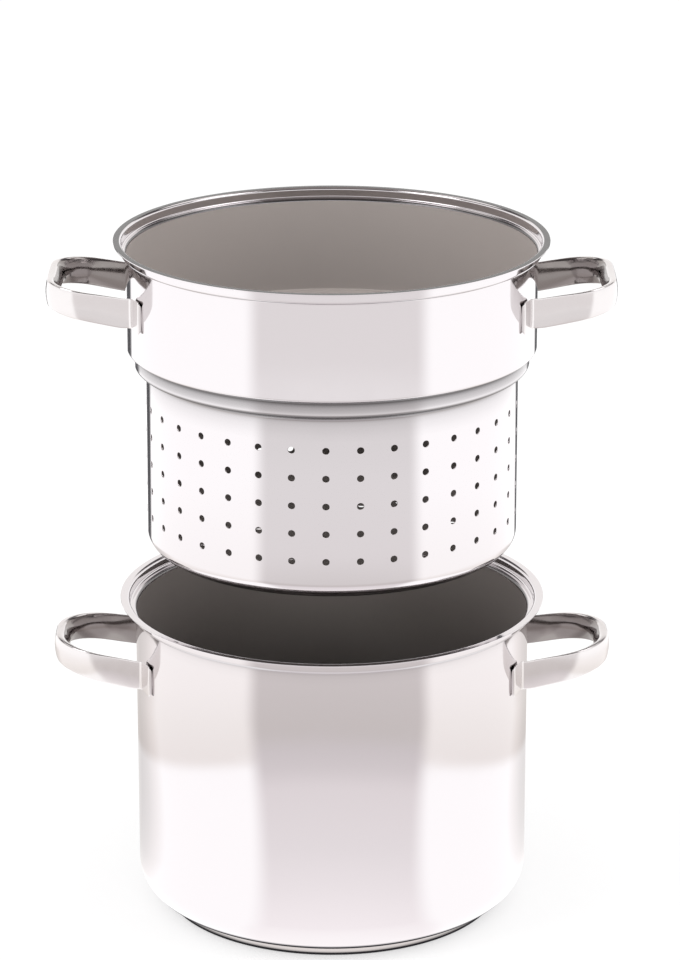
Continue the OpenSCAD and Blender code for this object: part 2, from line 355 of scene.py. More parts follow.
def face_outwards(piece):
    """Makes the faces agree and turns them so that a wall facing the front points to the front."""
    bpy.ops.object.mode_set(mode="EDIT")
    bpy.ops.mesh.select_all(action="SELECT")
    bpy.ops.mesh.normals_make_consistent(inside=False)
    bpy.ops.object.mode_set(mode="OBJECT")
    steep = [f for f in piece.data.polygons if abs(f.normal.z) < 0.2]
    out = sum(f.normal.x * f.center.x + f.normal.y * f.center.y for f in steep)
    if out < 0:
        bpy.ops.object.mode_set(mode="EDIT")
        bpy.ops.mesh.select_all(action="SELECT")
        bpy.ops.mesh.flip_normals()
        bpy.ops.object.mode_set(mode="OBJECT")


def apply_modifier(piece, kind, **values):
    """Adds a modifier with its values and applies it."""
    activate(piece)
    modifier = piece.modifiers.new(kind.title(), kind)
    for key, value in values.items():
        setattr(modifier, key, value)
    bpy.ops.object.modifier_apply(modifier=modifier.name)


def thicken(piece, thickness, outside, inside):
    """Gives a sheet its thickness inwards, with its own finish inside, and breaks its cut edges."""
    face_outwards(piece)
    piece.data.materials.append(finish(outside))
    piece.data.materials.append(finish(inside))
    apply_modifier(piece, "SOLIDIFY", thickness=thickness, offset=-1, use_even_offset=True,
                   use_quality_normals=True, material_offset=1)
    apply_modifier(piece, "BEVEL", width=0.22 * thickness, segments=2, limit_method="ANGLE",
                   angle_limit=math.radians(50), use_clamp_overlap=True)


def even_normals(piece):
    """Shades a turned sheet smooth, led by its wide faces, so that these reflect as flat as they are."""
    activate(piece)
    bpy.ops.object.shade_smooth_by_angle(angle=math.radians(26))
    apply_modifier(piece, "WEIGHTED_NORMAL", mode="FACE_AREA", weight=50, keep_sharp=True)


def polish_rim(piece, low_z, rim):
    """Gives the inside above a height its own finish: mirror polish, with painted shade at the foot of the
    seat.
    """
    piece.data.materials.append(finish(rim))
    inside = {face.center[:] for face in piece.data.polygons if face.material_index == 1}
    select_where(piece, "FACE", lambda co: co.z > low_z and co[:] in inside)
    piece.active_material_index = 2
    bpy.ops.object.material_slot_assign()


def finish_piece(piece, body, replaced):
    """Shades a piece, puts it in place of a solid and lets it ride on that solid's body."""
    activate(piece)
    if len(piece.data.polygons) < 500:
        raise RuntimeError(piece.name + " came out with too few faces")
    bpy.ops.object.transform_apply(location=True, rotation=True, scale=True)
    even_normals(piece)
    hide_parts(replaced)
    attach(piece, body)


def join(pieces):
    """Joins pieces into the first one and merges the points where they meet."""
    bpy.ops.object.mode_set(mode="OBJECT")
    bpy.ops.object.select_all(action="DESELECT")
    for piece in pieces:
        piece.select_set(True)
    bpy.context.view_layer.objects.active = pieces[0]
    bpy.ops.object.join()
    bpy.ops.object.mode_set(mode="EDIT")
    bpy.ops.mesh.select_all(action="SELECT")
    bpy.ops.mesh.remove_doubles(threshold=WELD)
    return pieces[0]


# Materials

def linear(code):
    """An sRGB hex colour as the linear values that Blender's nodes take."""
    channels = [int(code[i:i + 2], 16) / 255 for i in (0, 2, 4)]
    return tuple(c / 12.92 if c <= 0.04045 else ((c + 0.055) / 1.055) ** 2.4
                 for c in channels) + (1.0,)


def add_node(tree, kind, inputs=(), stops=(), **values):
    """Adds a node, sets its values and a ramp's stops, and fills or links its inputs.

    A node given for an input is linked by its first output. A stop is a place and a hex colour or share.
    """
    node = tree.nodes.new(kind)
    for key, value in values.items():
        setattr(node, key, value)
    if stops:
        elements = node.color_ramp.elements
        elements[0].position, elements[1].position = stops[0][0], stops[-1][0]
        for place, tone in stops[1:-1]:
            elements.new(place)
        for element, (place, tone) in zip(elements, stops):
            element.color = linear(tone) if isinstance(tone, str) else (tone, tone, tone, 1.0)
    for key, value in dict(inputs).items():
        if isinstance(value, bpy.types.Node):
            value = value.outputs[0]
        if isinstance(value, bpy.types.NodeSocket):
            tree.links.new(value, node.inputs[key])
        else:
            node.inputs[key].default_value = value
    return node


def new_material(name):
    material = bpy.data.materials.new(name)
    material.use_nodes = True
    material.node_tree.nodes.clear()
    return material, material.node_tree


def mirror_steel(vessel, low_z, reach):
    # 18/10 stainless, deep drawn and mirror polished: reflections are sharp, with a faint haze from the
    # polishing mop and a slow swell left in the sheet by drawing. Painted shade darkens the colour in
    # bands at the hollow bends, standing for dark reflections there, and the steel is made rougher in
    # those bands: the last argument gives the share of colour kept at heights over low_z.
    material, tree = new_material("mirror_polished_stainless_" + vessel)
    where = add_node(tree, "ShaderNodeTexCoord").outputs["Object"]
    parts = add_node(tree, "ShaderNodeSeparateXYZ", {"Vector": where})
    first, last = reach[0][0], reach[-1][0]
    along = add_node(tree, "ShaderNodeMapRange", {"Value": parts.outputs["Z"],
                     "From Min": low_z + first * MM, "From Max": low_z + last * MM})
    # Painted shade: this ramp darkens the steel's colour in bands at the bends, and also roughens it
    # there.
    painted_shade = add_node(tree, "ShaderNodeValToRGB", {"Fac": along},
                      [((height - first) / (last - first), share) for height, share in reach])
    colour = add_node(tree, "ShaderNodeMix", {"Factor": 1.0, 6: linear(settings("steel").mirror_hex),
                      7: painted_shade}, data_type="RGBA", blend_type="MULTIPLY").outputs[2]
    haze = add_node(tree, "ShaderNodeTexNoise", {"Vector": where, "Scale": 60.0, "Detail": 3.0})
    polish = add_node(tree, "ShaderNodeMapRange", {"Value": haze.outputs["Fac"], "From Min": 0.3,
                      "From Max": 0.7, "To Min": 0.05, "To Max": 0.085})
    rough_in_shade = add_node(tree, "ShaderNodeMapRange", {"Value": painted_shade, "From Min": 1.0,
                      "From Max": 0.3, "To Max": 0.16})
    rough = add_node(tree, "ShaderNodeMath", {0: polish, 1: rough_in_shade}, operation="ADD")
    swell = add_node(tree, "ShaderNodeTexNoise", {"Vector": where, "Scale": 9.0, "Detail": 1.0})
    bump = add_node(tree, "ShaderNodeBump", {"Height": swell.outputs["Fac"], "Strength": 0.12,
                    "Distance": 0.6 * MM})
    shader = add_node(tree, "ShaderNodeBsdfPrincipled", {"Base Color": colour, "Metallic": 1.0,
                      "Roughness": rough, "Normal": bump})
    add_node(tree, "ShaderNodeOutputMaterial", {"Surface": shader})
    return material


def satin_steel(vessel, low_z, top_z):
    # The same sheet inside, rubbed round and round with an abrasive pad: a soft sheen that runs with the
    # rub, over a pale bloom that scatters light evenly. Painted shade darkens the colour from top_z down
    # to low_z, deeper in the vessel where less light falls. The real lines are about 0.1 mm apart, too
    # fine to show, so they are drawn about 0.7 mm apart.
    material, tree = new_material("satin_rubbed_stainless_" + vessel)
    where = add_node(tree, "ShaderNodeTexCoord").outputs["Object"]
    parts = add_node(tree, "ShaderNodeSeparateXYZ", {"Vector": where})
    # Painted shade: the colour darkens towards the bottom of the vessel.
    depth_shade = add_node(tree, "ShaderNodeMapRange", {"Value": parts.outputs["Z"], "From Min": low_z,
                    "From Max": top_z, "To Min": 0.25}, interpolation_type="SMOOTHSTEP")
    satin, pale = (add_node(tree, "ShaderNodeMix", {"Factor": depth_shade, 6: linear("4A4644"),
                   7: linear(code)}, data_type="RGBA").outputs[2]
                   for code in (settings("steel").satin_hex, settings("steel").bloom_hex))
    flat = add_node(tree, "ShaderNodeCombineXYZ", {"X": parts.outputs["X"], "Y": parts.outputs["Y"]})
    radius = add_node(tree, "ShaderNodeVectorMath", {0: flat}, operation="LENGTH")
    round_way = add_node(tree, "ShaderNodeMath", {0: parts.outputs["Y"], 1: parts.outputs["X"]},
                         operation="ARCTAN2")
    slow = add_node(tree, "ShaderNodeMath", {0: round_way, 1: 0.004}, operation="MULTIPLY")
    rub = add_node(tree, "ShaderNodeCombineXYZ", {"X": radius.outputs["Value"], "Y": slow,
                   "Z": parts.outputs["Z"]})
    lines = add_node(tree, "ShaderNodeTexNoise", {"Vector": rub, "Scale": 1400.0, "Detail": 2.0})
    rough = add_node(tree, "ShaderNodeMapRange", {"Value": lines.outputs["Fac"], "From Min": 0.3,
                     "From Max": 0.7, "To Min": 0.28, "To Max": 0.38})
    bump = add_node(tree, "ShaderNodeBump", {"Height": lines.outputs["Fac"], "Strength": 0.1,
                    "Distance": 0.03 * MM})
    sheen = add_node(tree, "ShaderNodeBsdfPrincipled", {"Base Color": satin, "Metallic": 1.0,
                     "Roughness": rough, "Normal": bump})
    bloom = add_node(tree, "ShaderNodeBsdfDiffuse", {"Color": pale})
    shader = add_node(tree, "ShaderNodeMixShader", {0: 0.6, 1: sheen, 2: bloom})
    add_node(tree, "ShaderNodeOutputMaterial", {"Surface": shader})
    return material


def tube_steel(side, hex_code):
    # Stainless tube, pressed and tumbled to a polish: soft-edged reflections with a slight orange-peel.
    # The side that faces into the loop gets a darker colour: painted shade, standing for the dark
    # reflections there.
    material, tree = new_material("polished_stainless_tube_" + side)
    where = add_node(tree, "ShaderNodeTexCoord").outputs["Object"]
    peel = add_node(tree, "ShaderNodeTexNoise", {"Vector": where, "Scale": 240.0, "Detail": 2.0})
    rough = add_node(tree, "ShaderNodeMapRange", {"Value": peel.outputs["Fac"], "From Min": 0.3,
                     "From Max": 0.7, "To Min": 0.11, "To Max": 0.17})
    bump = add_node(tree, "ShaderNodeBump", {"Height": peel.outputs["Fac"], "Strength": 0.1,
                    "Distance": 0.05 * MM})
    shader = add_node(tree, "ShaderNodeBsdfPrincipled", {"Base Color": linear(hex_code),
                      "Metallic": 1.0, "Roughness": rough, "Normal": bump})
    add_node(tree, "ShaderNodeOutputMaterial", {"Surface": shader})
    return material


def turned_steel():
    # The cap's stainless, faced on a lathe: fine rings round the axis, drawn 0.6 mm apart to show.
    material, tree = new_material("lathe_faced_stainless")
    where = add_node(tree, "ShaderNodeTexCoord").outputs["Object"]
    rings = add_node(tree, "ShaderNodeTexWave", {"Vector": where, "Scale": 0.5 / (0.6 * MM) / math.tau,
                     "Distortion": 0.4, "Detail": 1.0}, wave_type="RINGS", rings_direction="Z")
    rough = add_node(tree, "ShaderNodeMapRange", {"Value": rings.outputs["Fac"], "To Min": 0.12,
                     "To Max": 0.2})
    bump = add_node(tree, "ShaderNodeBump", {"Height": rings.outputs["Fac"], "Strength": 0.15,
                    "Distance": 0.03 * MM})
    shader = add_node(tree, "ShaderNodeBsdfPrincipled", {"Base Color": linear(settings("steel").cap_hex),
                      "Metallic": 1.0, "Roughness": rough, "Normal": bump})
    add_node(tree, "ShaderNodeOutputMaterial", {"Surface": shader})
    return material


def core_aluminium():
    # Pressed aluminium disc, closed in: dull and slightly mottled.
    material, tree = new_material("pressed_aluminium")
    where = add_node(tree, "ShaderNodeTexCoord").outputs["Object"]
    mottle = add_node(tree, "ShaderNodeTexNoise", {"Vector": where, "Scale": 120.0})
    rough = add_node(tree, "ShaderNodeMapRange", {"Value": mottle.outputs["Fac"], "To Min": 0.4,
                     "To Max": 0.6})
    shader = add_node(tree, "ShaderNodeBsdfPrincipled", {"Base Color": linear(settings("steel").core_hex),
                      "Metallic": 1.0, "Roughness": rough})
    add_node(tree, "ShaderNodeOutputMaterial", {"Surface": shader})
    return material


def shoulder_z():
    """Height of the insert's shoulder over the table, as it is held."""
    return settings("insert").floor_z + settings("insert").basket_h


# Painted shade, as heights in millimetres and the shares of colour kept, which also roughen the steel:
# dark bands at the bends stand for dark reflections. The pot's count from the table, the insert's from its
# shoulder. The rims' rows are for the inside: painted shade at the foot of the seat, and on the insert a
# thin dark line at the top of the lip.
POT_PAINTED_SHADE = ((180, 1.0), (184, 0.97), (186.2, 0.92), (187.6, 0.8), (188.8, 0.7), (190.2, 0.76),
             (191.2, 0.97), (196, 1.0))
POT_RIM_PAINTED_SHADE = ((187.8, 1.0), (188.2, 0.25), (189.1, 0.25), (189.5, 1.0), (196, 1.0))
INSERT_PAINTED_SHADE = ((-16, 1.0), (-12, 0.95), (-7.1, 0.86), (-4.6, 0.77), (-2.7, 0.56), (-1.5, 0.3),
                (-0.4, 0.17), (0.9, 0.12), (1.6, 0.34), (2.6, 0.9), (4.0, 0.7), (5.5, 0.6),
                (6.8, 0.53), (8.0, 0.37), (9.0, 0.19), (10.3, 0.34), (11.2, 0.7), (12.0, 1.0),
                (69.6, 1.0), (70.0, 0.5), (70.6, 0.5), (70.9, 1.0), (77, 1.0))
INSERT_RIM_PAINTED_SHADE = ((69, 1.0), (69.3, 0.2), (70.2, 0.2), (70.5, 1.0), (76.8, 1.0), (76.95, 0.07), (77, 0.07))
FINISHES = {
    "pot": lambda: mirror_steel("pot", 0, POT_PAINTED_SHADE),
    "pot_rim": lambda: mirror_steel("pot_rim", 0, POT_RIM_PAINTED_SHADE),
    "pot_satin": lambda: satin_steel("pot", 80 * MM, 190 * MM),
    "insert": lambda: mirror_steel("insert", shoulder_z(), INSERT_PAINTED_SHADE),
    "insert_rim": lambda: mirror_steel("insert_rim", shoulder_z(), INSERT_RIM_PAINTED_SHADE),
    "insert_satin": lambda: satin_steel("insert", shoulder_z() - 45 * MM, shoulder_z()),
    "tube": lambda: tube_steel("outside", settings("steel").tube_hex),
    # Painted shade on the loops' inner sides.
    "tube_shaded_inside": lambda: tube_steel("inside", settings("steel").loop_shade_hex),
    "cap": turned_steel,
    "core": core_aluminium,
}
made = {}


def finish(name):
    """The material of a finish, made the first time it is asked for."""
    if name not in made:
        made[name] = FINISHES[name]()
    return made[name]


# Pieces

class PASTA_OT_pot_shell(bpy.types.Operator):
    """Adds the pot's drawn shell with its rounded corner and stepped rim"""
    bl_idname = "pasta.pot_shell"
    bl_label = "Pot shell"

    def execute(self, context):
        s, t = settings("pot"), settings("steel").sheet
        under_ledge = s.top_z - LEDGE_DEPTH - t
        piece = turn_profile("pot_shell", [
            (0, s.floor_z, 0), (s.wall_r, s.floor_z, s.corner_r), (s.wall_r, under_ledge, s.bend_r),
            (s.seat_r, under_ledge, s.bend_r + t), (s.seat_r, s.top_z - t, s.bend_r),
            (s.lip_r, s.top_z - t, 0)])
        thicken(piece, t, "pot", "pot_satin")
        polish_rim(piece, under_ledge - s.bend_r, "pot_rim")
        finish_piece(piece, "pot", "pot_body")
        return {"FINISHED"}


class PASTA_OT_base_ring(bpy.types.Operator):
    """Adds the cap under the pot and the finish of the core inside it"""
    bl_idname = "pasta.base_ring"
    bl_label = "Base cap"

    def execute(self, context):
        s = settings("pot")
        piece = turn_profile("base_cap_dressed", [
            (0, 0, 0), (s.cap_r, 0, s.cap_edge_r), (s.cap_r, cap_high.z, 0)])
        thicken(piece, s.cap_sheet, "cap", "cap")
        finish_piece(piece, "pot", "base_cap")
        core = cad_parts["base_core"]
        core.data.materials.clear()
        core.data.materials.append(finish("core"))
        return {"FINISHED"}


class PASTA_OT_insert_shell(bpy.types.Operator):
    """Adds the insert's drawn shell with its stepped rim, neck and perforated basket"""
    bl_idname = "pasta.insert_shell"
    bl_label = "Insert shell"

    def wall_band(self):
        """The perforated band: one tile with a round hole, repeated flat and bent round the axis."""
        s, holes, facets = settings("insert"), settings("holes"), settings("steel").facets
        cells = facets // holes.columns
        width = math.tau * s.basket_r / holes.columns
        tile = edit_new(bpy.ops.mesh.primitive_plane_add, "insert_band", size=1.0,
                        rotation=(math.pi / 2, 0, 0))
        bpy.ops.mesh.subdivide(number_cuts=cells - 1)
        bpy.ops.object.mode_set(mode="OBJECT")
        bpy.ops.object.transform_apply(rotation=True)
        bpy.ops.object.mode_set(mode="EDIT")
        bpy.ops.mesh.select_all(action="SELECT")
        bpy.ops.transform.resize(value=(width, 1, holes.row_pitch))
        # The facets round the middle go, and the square gap that they leave is made round and sized.
        reach_x, reach_z = 2.1 * width / cells, 2.1 * holes.row_pitch / cells
        select_where(tile, "FACE", lambda co: abs(co.x) < reach_x and abs(co.z) < reach_z)
        bpy.ops.mesh.delete(type="ONLY_FACE")
        select_where(tile, "VERT", lambda co: abs(co.x) < 0.8 * reach_x and abs(co.z) < 0.8 * reach_z)
        bpy.ops.mesh.delete(type="VERT")
        select_where(tile, "VERT", lambda co: abs(co.x) < reach_x and abs(co.z) < reach_z)
        bpy.ops.transform.tosphere(value=1)
        bpy.ops.object.mode_set(mode="OBJECT")
        ring = [v for v in tile.data.vertices if v.select]
        size = sum(math.hypot(v.co.x, v.co.z) for v in ring) / len(ring)
        bpy.ops.object.mode_set(mode="EDIT")
        bpy.ops.transform.resize(value=(holes.diameter / 2 / size, 1, holes.diameter / 2 / size))
        apply_modifier(tile, "ARRAY", count=holes.columns, use_relative_offset=False,
                       use_constant_offset=True, constant_offset_displace=(width, 0, 0),
                       use_merge_vertices=True, merge_threshold=NEAR)
        apply_modifier(tile, "ARRAY", count=holes.rows, use_relative_offset=False,
                       use_constant_offset=True, constant_offset_displace=(0, 0, -holes.row_pitch),
                       use_merge_vertices=True, merge_threshold=NEAR)
        bpy.ops.object.mode_set(mode="EDIT")
        bpy.ops.mesh.select_all(action="SELECT")
        middle = width * (holes.columns - 1) / 2
        top_row = s.floor_z + s.basket_h - holes.row_start
        bpy.ops.transform.translate(value=(-middle, 0, top_row))
        apply_modifier(tile, "SIMPLE_DEFORM", deform_method="BEND", deform_axis="Z", angle=math.tau)
        bpy.ops.object.mode_set(mode="EDIT")
        bpy.ops.mesh.select_all(action="SELECT")
        bpy.ops.transform.translate(value=(0, -s.basket_r, 0))
        bpy.ops.mesh.remove_doubles(threshold=WELD)
        return tile

    def floor_sheet(self, rim_r):
        """The basket's floor: a disc whose round holes are left open as it is filled."""
        s, holes, facets = settings("insert"), settings("holes"), settings("steel").facets
        sheet = edit_new(bpy.ops.mesh.primitive_circle_add, "insert_floor", vertices=facets,
                         radius=rim_r, location=(0, 0, s.floor_z), rotation=(0, 0, -math.pi / 2))
        bpy.ops.object.mode_set(mode="OBJECT")
        bpy.ops.object.transform_apply(location=True, rotation=True)
        bpy.ops.object.mode_set(mode="EDIT")
        bpy.ops.mesh.select_all(action="DESELECT")
        bpy.ops.mesh.primitive_circle_add(vertices=16, radius=holes.diameter / 2,
                                          location=(0, 0, s.floor_z))
        for ring in range(1, holes.rings + 1):
            bpy.ops.mesh.select_all(action="DESELECT")
            bpy.ops.mesh.primitive_circle_add(vertices=16, radius=holes.diameter / 2,
                                              location=(ring * holes.ring_pitch, 0, s.floor_z))
            bpy.ops.mesh.spin(steps=6 * ring, dupli=True, angle=math.tau, center=(0, 0, 0),
                              axis=(0, 0, 1))
        bpy.ops.mesh.select_all(action="SELECT")
        bpy.ops.mesh.remove_doubles(threshold=WELD)
        bpy.ops.mesh.select_all(action="SELECT")
        bpy.ops.mesh.fill(use_beauty=True)
        return sheet

    def even_shading(self, piece, plain):
        """Gives wall and floor the shading of an unpierced sheet, so that no hole dents it."""
        s, t, near = settings("insert"), settings("steel").sheet, 0.03 * MM
        even_normals(plain)

        def on_sheet(co):
            radius, height = math.hypot(co.x, co.y), co.z - s.floor_z
            wall = min(abs(radius - s.basket_r), abs(radius - s.basket_r + t)) < near
            level = min(abs(height), abs(height - t)) < near
            return (wall and s.corner_r < height < s.basket_h - s.basket_bend_r) or (
                level and radius < s.basket_r - s.corner_r)

        activate(piece)
        select_where(piece, "VERT", on_sheet)
        bpy.ops.object.vertex_group_assign_new()
        apply_modifier(piece, "DATA_TRANSFER", object=plain, use_loop_data=True,
                       data_types_loops={"CUSTOM_NORMAL"}, loop_mapping="POLYINTERP_NEAREST",
                       vertex_group=piece.vertex_groups[0].name)
        piece.vertex_groups.clear()
        bpy.data.objects.remove(plain)

    def execute(self, context):
        s, holes, t = settings("insert"), settings("holes"), settings("steel").sheet
        band_top = s.basket_h - holes.row_start + holes.row_pitch / 2
        band_low = band_top - holes.rows * holes.row_pitch
        floor_r = s.basket_r - s.corner_r - MM
        step = s.basket_h + s.neck_h
        under_ledge = s.height - LEDGE_DEPTH - t
        over = [(r, s.floor_z + z, rounding) for r, z, rounding in [
            (s.basket_r, s.basket_h, s.basket_bend_r), (s.neck_r, s.basket_h, s.shoulder_r),
            (s.neck_r, step, s.neck_bend_r), (s.collar_r, step, s.collar_corner_r),
            (s.collar_r, under_ledge, s.bend_r), (s.seat_r, under_ledge, s.bend_r + t),
            (s.seat_r, s.height - t, s.bend_r), (s.lip_r, s.height - t, 0)]]
        corner = (s.basket_r, s.floor_z, s.corner_r)
        upper = turn_profile("insert_shell", [(s.basket_r, s.floor_z + band_top, 0)] + over)
        lower = turn_profile("insert_corner", [(floor_r, s.floor_z, 0), corner,
                                               (s.basket_r, s.floor_z + band_low, 0)])
        band = self.wall_band()
        floor = self.floor_sheet(floor_r)
        piece = join([upper, lower, band, floor])
        bpy.ops.mesh.select_all(action="SELECT")
        bpy.ops.transform.rotate(value=-holes.turn, orient_axis="Z", center_override=(0, 0, 0))
        thicken(piece, t, "insert", "insert_satin")
        polish_rim(piece, s.floor_z + under_ledge - s.bend_r, "insert_rim")
        finish_piece(piece, "strainer", "strainer_body")
        plain = turn_profile("insert_unpierced", [(0, s.floor_z, 0), corner] + over)
        thicken(plain, t, "insert", "insert_satin")
        self.even_shading(piece, plain)
        return {"FINISHED"}


class PASTA_OT_handles(bpy.types.Operator):
    """Adds the four loop handles, pressed flat at their feet and welded to the walls"""
    bl_idname = "pasta.handles"
    bl_label = "Handles"
    weld_gap = 0.03 * MM              # between a foot and the wall
    foot_points, heel_points = 8, 10  # steps of the line along a foot and round a heel
    foot_corner_r = 2.8 * MM          # radius of a foot's corners
    press_l, pressed = 1.4 * MM, 0.7  # length over which a foot's end thins, and by what share

    def plan(self, wall_r, width, end_w, bend_r, reach, height):
        """Points of a loop's middle line, from one foot's end round to the other's."""
        s = settings("handles")
        foot_r = wall_r + s.foot_t / 2 + self.weld_gap
        heel_a = math.asin(width / 2 / foot_r)
        end_a = heel_a + s.foot_l / foot_r
        heel = (foot_r * math.cos(heel_a), foot_r * math.sin(heel_a))
        far_x = wall_r + reach - s.grip_t / 2
        leg_a = math.atan2(end_w / 2 - heel[1], far_x - heel[0])
        start_a = heel_a + s.heel_r * math.tan((leg_a - heel_a + math.pi / 2) / 2) / foot_r
        half = [(foot_r * math.cos(a), foot_r * math.sin(a))
                for a in (end_a + (start_a - end_a) * i / self.foot_points
                          for i in range(self.foot_points + 1))]

        def arc(radius, from_a, turn, count):
            """Continues the line round an arc, from its heading from_a through a turn."""
            x, y = half[-1]
            side = math.copysign(radius, turn)
            cx, cy = x - side * math.sin(from_a), y + side * math.cos(from_a)
            for i in range(1, count + 1):
                a = from_a + turn * i / count
                half.append((cx + side * math.sin(a), cy - side * math.cos(a)))

        into_a = start_a - math.pi / 2
        arc(s.heel_r, into_a, leg_a - into_a, self.heel_points)
        x, y = half[-1]
        corner_turn = leg_a + math.pi / 2
        tangent = bend_r * math.tan(corner_turn / 2)
        corner_y = y + (far_x - x) * math.tan(leg_a)
        bend = (far_x - tangent * math.cos(leg_a), corner_y - tangent * math.sin(leg_a))
        half += [(x + (bend[0] - x) * i / 12, y + (bend[1] - y) * i / 12) for i in range(1, 13)]
        arc(bend_r, leg_a, -corner_turn, 18)
        flat_y = half[-1][1]
        half += [(far_x, flat_y * (1 - i / 4)) for i in range(1, 5)]
        whole = half + [(x, -y) for x, y in reversed(half[:-1])]
        # The bends are smoothed, but for the feet and heels: each pass that pulls the points in is
        # followed by one that pushes them out, so that the loop keeps its size.
        first = self.foot_points + self.heel_points + 3
        last = len(whole) - first
        for share in (0.5, -0.53) * 24:
            whole = whole[:first] + [
                tuple(b + share * ((a + c) / 2 - b) for a, b, c in zip(*whole[i - 1:i + 2]))
                for i in range(first, last)] + whole[last:]
        rise = math.tan(s.tilt)
        return [(x, y, height + max(0.0, x - wall_r) * rise) for x, y in whole]

    def section(self, name):
        """The tube's section at the far end: a rounded inner face, a flatter outer one, soft corners."""
        s = settings("handles")
        t, h, back = s.grip_t, s.grip_h, s.crown / 4
        inner = [(s.crown * (i / 6) ** 2 - t / 2, h / 2 * i / 6) for i in range(-6, 7)]
        outer = [(t / 2 - back * (i / 3) ** 2, h / 2 * i / 3) for i in range(3, -4, -1)]
        points = [(0, y, z) for y, z in inner + outer]
        piece = draw_line(name, points)
        select_where(piece, "VERT", lambda co: min(math.dist(co, points[0]), math.dist(co, points[-1]))
                     < NEAR)
        bpy.ops.mesh.edge_face_add()
        for corner, radius in ((points[0], 1.3), (points[12], 1.3), (points[13], 0.8),
                               (points[-1], 0.8)):
            round_corner(piece, corner, radius * MM, 4)
        return piece

    def handle(self, name, *plan):
        """One loop: its section is drawn out straight, tapered to both feet, and bent along the plan."""
        s = settings("handles")
        path_points = self.plan(*plan)
        lengths = [0.0]
        for a, b in zip(path_points, path_points[1:]):
            lengths.append(lengths[-1] + math.dist(a, b))
        whole = lengths[-1]
        heel = s.foot_l / (whole / 2)
        piece = self.section(name)
        stops = [d * MM for d in (0.0, 0.1, 0.3, 0.6, 1.0, 1.5, 2.1)]
        foot_end = lengths[self.foot_points]
        heel_end = lengths[self.foot_points + self.heel_points]
        for upto, count in ((self.foot_corner_r, 1), (foot_end, 4), (heel_end, 14), (whole / 2, 48)):
            start = stops[-1]
            stops += [start + (upto - start) * i / count for i in range(1, count + 1)]
        stops += [whole - d for d in reversed(stops[:-1])]
        size = [1.0, 1.0]
        place = (0.0, 0.0)
        for i, stop in enumerate(stops):
            way = 1 - abs(2 * stop / whole - 1)
            k = max(0.0, (way - heel) / (1 - heel))
            ease = (1 - math.cos(math.pi * k)) / 2
            thick = (s.foot_t + (s.grip_t - s.foot_t) * ease) / s.grip_t
            high = s.foot_h + (s.leg_h - s.foot_h) * min(1.0, way / heel)
            high = (high + (s.grip_h - s.leg_h) * ease) / s.grip_h
            edge = min(stop, whole - stop)
            soft = max(0.0, 1 - edge / self.press_l)
            thin = thick * self.pressed * (1 - math.sqrt(1 - soft * soft))
            thick, lean = thick - thin, -thin * s.grip_t / 2
            soft = max(0.0, 1 - edge / self.foot_corner_r)
            high -= 2 * self.foot_corner_r * (1 - math.sqrt(1 - soft * soft)) / s.grip_h
            step = (stop - place[0], lean - place[1], 0)
            if i == 0:
                bpy.ops.mesh.select_all(action="SELECT")
                bpy.ops.transform.translate(value=step)
            else:
                bpy.ops.mesh.extrude_edges_move(TRANSFORM_OT_translate={"value": step})
            bpy.ops.transform.resize(value=(1, thick / size[0], high / size[1]),
                                     center_override=(stop, lean, 0))
            size, place = [thick, high], (stop, lean)
        for end in (0.0, whole):
            select_where(piece, "VERT", lambda co: abs(co.x - end) < NEAR)
            bpy.ops.mesh.edge_face_add()
        bpy.ops.mesh.select_all(action="SELECT")
        bpy.ops.mesh.normals_make_consistent(inside=False)
        piece.data.materials.append(finish("tube"))
        piece.data.materials.append(finish("tube_shaded_inside"))
        # Painted shade: the loop's inner side gets the darker copy of the tube steel.
        select_where(piece, "FACING", lambda normal: normal.y < -0.6)
        piece.active_material_index = 1
        bpy.ops.object.material_slot_assign()
        path = draw_line(name + "_path", path_points)
        bpy.ops.object.mode_set(mode="OBJECT")
        bpy.ops.object.convert(target="CURVE")
        path = bpy.context.object
        path.data.dimensions = "3D"
        path.data.twist_mode = "Z_UP"
        path.data.use_stretch = True
        path.data.use_deform_bounds = True
        apply_modifier(piece, "CURVE", object=path, deform_axis="POS_X")
        bpy.data.objects.remove(path)
        bpy.ops.object.mode_set(mode="EDIT")
        bpy.ops.mesh.select_all(action="SELECT")
        bpy.ops.mesh.normals_make_consistent(inside=False)
        return piece

    def execute(self, context):
        s = settings("handles")
        pot = (settings("pot").wall_r, s.pot_w, s.pot_end_w, s.pot_bend_r, s.pot_reach, s.pot_z)
        insert = (settings("insert").collar_r, s.insert_w, s.insert_end_w, s.insert_bend_r,
                  s.insert_reach, s.insert_z)
        for body, plan in (("pot", pot), ("strainer", insert)):
            right = self.handle(body + "_loop_right", *plan)
            activate(right)
            bpy.ops.object.duplicate()
            left = bpy.context.object
            left.name = left.data.name = body + "_loop_left"
            left.rotation_euler.z = math.pi
            for piece, side in ((right, "right"), (left, "left")):
                finish_piece(piece, body, f"{body}_handle_{side}")
        return {"FINISHED"}


